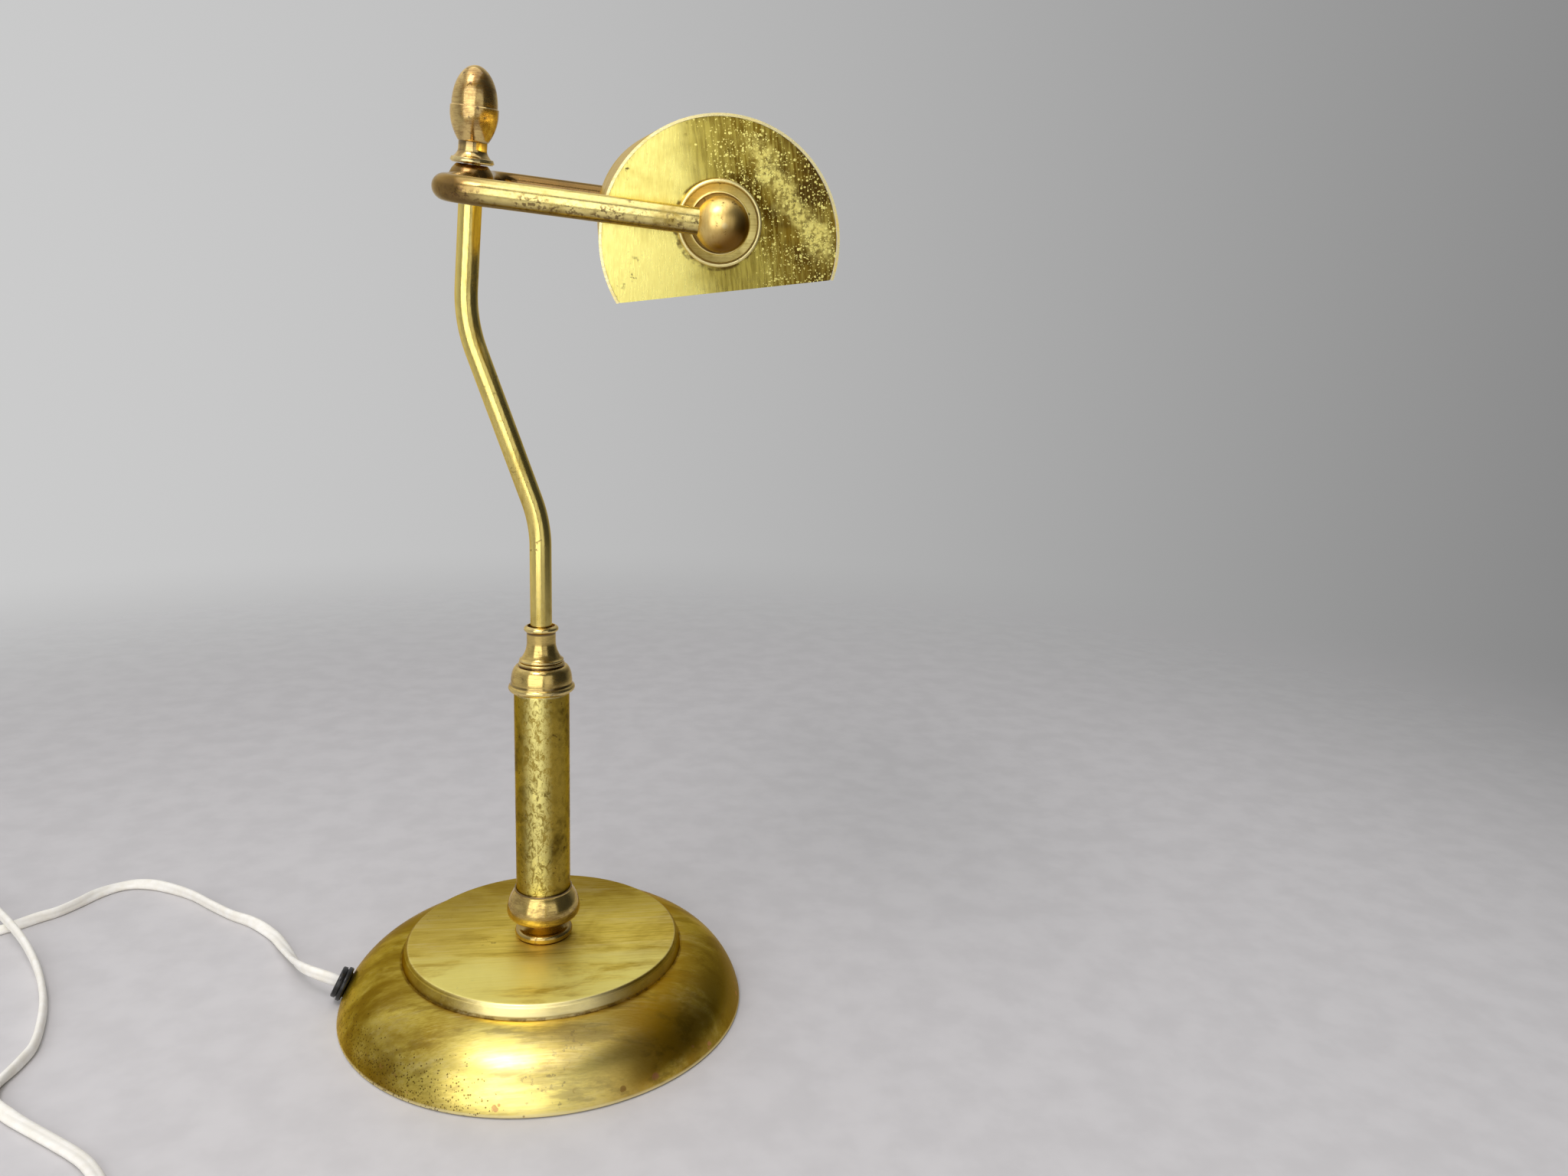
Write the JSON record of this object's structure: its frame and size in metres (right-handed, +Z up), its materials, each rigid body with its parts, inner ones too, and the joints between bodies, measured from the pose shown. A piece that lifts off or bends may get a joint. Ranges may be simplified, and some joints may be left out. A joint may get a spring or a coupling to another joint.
{
  "type": "desk lamp",
  "caption": "Aged brass bankers lamp: round stepped base, column, S-bent stem with acorn finial, swivelling yoke and a tilting trough shade, with a flat white mains cord.",
  "frame": {"origin": "centre of the base's underside, on the table", "axes": "+Z up along the column, +X from the stem towards the shade, +Y along the shade's axis away from the camera's side"},
  "size_m": [0.4661, 0.3783, 0.4334],
  "materials": {
    "lacquered_brass": "satin",
    "turned_brass": "polished",
    "tube_brass": "satin",
    "sheet_brass": "satin",
    "holder_brass": "satin",
    "cast_iron": "rough",
    "green_felt": "matte",
    "zinc_steel": "satin",
    "fibre": "matte",
    "porcelain": "glossy",
    "bulb_metal": "satin",
    "bulb_glass": "frosted",
    "black_key": "glossy",
    "black_rubber": "glossy",
    "white_pvc": "satin",
    "white_plastic": "satin",
    "pin_metal": "polished"
  },
  "bodies": {
    "base": {"base_shell": "lacquered_brass", "base_weight": "cast_iron", "base_felt": "green_felt", "base_washer": "zinc_steel", "base_nut": "zinc_steel", "tie_rod": "zinc_steel", "column_foot": "turned_brass", "column_tube": "tube_brass", "column_cap": "turned_brass", "cap_coupler": "zinc_steel", "column_wire": "white_pvc", "cord_bushing": "black_rubber", "cord_lead": "white_pvc", "cord_coil": "white_pvc", "coil_tie": "white_plastic", "plug_body": "white_plastic", "plug_pins": "pin_metal"},
    "stem": {"stem": "tube_brass", "stem_clip": "zinc_steel", "stem_wire": "white_pvc", "swivel_nipple": "zinc_steel", "finial": "turned_brass"},
    "yoke": {"yoke_hub": "turned_brass", "ball_near": "turned_brass", "ball_far": "turned_brass", "yoke_arm_near": "tube_brass", "yoke_arm_far": "tube_brass", "lampholder_cap": "holder_brass", "lampholder_shell": "holder_brass", "pivot_nipple_near": "zinc_steel", "pivot_nipple_far": "zinc_steel", "inner_washer_near": "zinc_steel", "inner_washer_far": "zinc_steel", "pivot_nut_near": "zinc_steel", "pivot_nut_far": "zinc_steel", "friction_washer_near": "fibre", "friction_washer_far": "fibre", "lampholder_core": "porcelain", "bulb_cap": "bulb_metal", "bulb_glass": "bulb_glass", "arm_wire": "white_pvc"},
    "shade": {"shade_trough": "sheet_brass", "end_plate_near": "sheet_brass", "end_plate_far": "sheet_brass", "boss_near": "turned_brass", "boss_far": "turned_brass"},
    "key": {"switch_key": "black_key"}
  },
  "joints": [
    {"name": "stem_swivel", "type": "hinge", "parent": "base", "child": "stem", "pos_m": [0, 0, 0.18], "axis": [0, 0, 1], "range_deg": [-170, 170]},
    {"name": "yoke_swivel", "type": "hinge", "parent": "stem", "child": "yoke", "pos_m": [-0.0274, -0.00767, 0.38743], "axis": [0.0778, -0.1323, 0.9882], "range_deg": [-150, 150]},
    {"name": "shade_tilt", "type": "hinge", "parent": "yoke", "child": "shade", "pos_m": [0.0693, -0.00767, 0.37982], "axis": [0.0104, 0.9912, 0.1318], "range_deg": [-100, 100]},
    {"name": "switch_turn", "type": "hinge", "parent": "yoke", "child": "key", "pos_m": [0.07001, 0.06043, 0.38888], "axis": [0.0778, -0.1323, 0.9882], "range_deg": [0, 90]}
  ]
}
